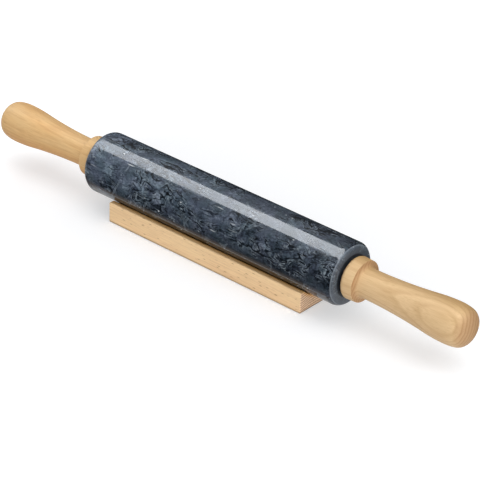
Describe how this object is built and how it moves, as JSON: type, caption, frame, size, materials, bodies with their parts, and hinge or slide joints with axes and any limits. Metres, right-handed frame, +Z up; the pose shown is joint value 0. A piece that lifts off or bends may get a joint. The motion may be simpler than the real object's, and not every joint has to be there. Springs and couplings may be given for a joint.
{
  "type": "marble rolling pin",
  "caption": "Rolling pin with a polished dark marble barrel that turns on a steel axle between turned beech handles, resting in a beech cradle.",
  "frame": {"origin": "centre of the cradle's flat underside", "axes": "+X along the pin towards the right handle, +Y across it to the back, +Z up"},
  "size_m": [0.4676, 0.05, 0.06],
  "materials": {
    "cradle_beech": "planed and sanded, unvarnished",
    "handle_beech": "turned and sanded, thin satin lacquer",
    "marble": "polished round the side, honed on the end faces",
    "steel": "bright drawn, zinc plated",
    "nylon": "as moulded",
    "brass": "as turned"
  },
  "bodies": {
    "cradle": {"cradle": "cradle_beech"},
    "barrel": {"marble_barrel": "marble", "left_bushing": "nylon", "right_bushing": "nylon"},
    "handles": {"axle_rod": "steel", "left_washer": "steel", "right_washer": "steel", "left_insert": "brass", "right_insert": "brass", "left_handle": "handle_beech", "right_handle": "handle_beech"}
  },
  "joints": [
    {"name": "pin_lift", "type": "slide", "parent": "cradle", "child": "barrel", "axis": [0, 0, 1], "range_m": [0, 0.08]},
    {"name": "axle_spin", "type": "hinge", "parent": "barrel", "child": "handles", "pos_m": [0, 0, 0.035], "axis": [1, 0, 0], "continuous": true}
  ]
}
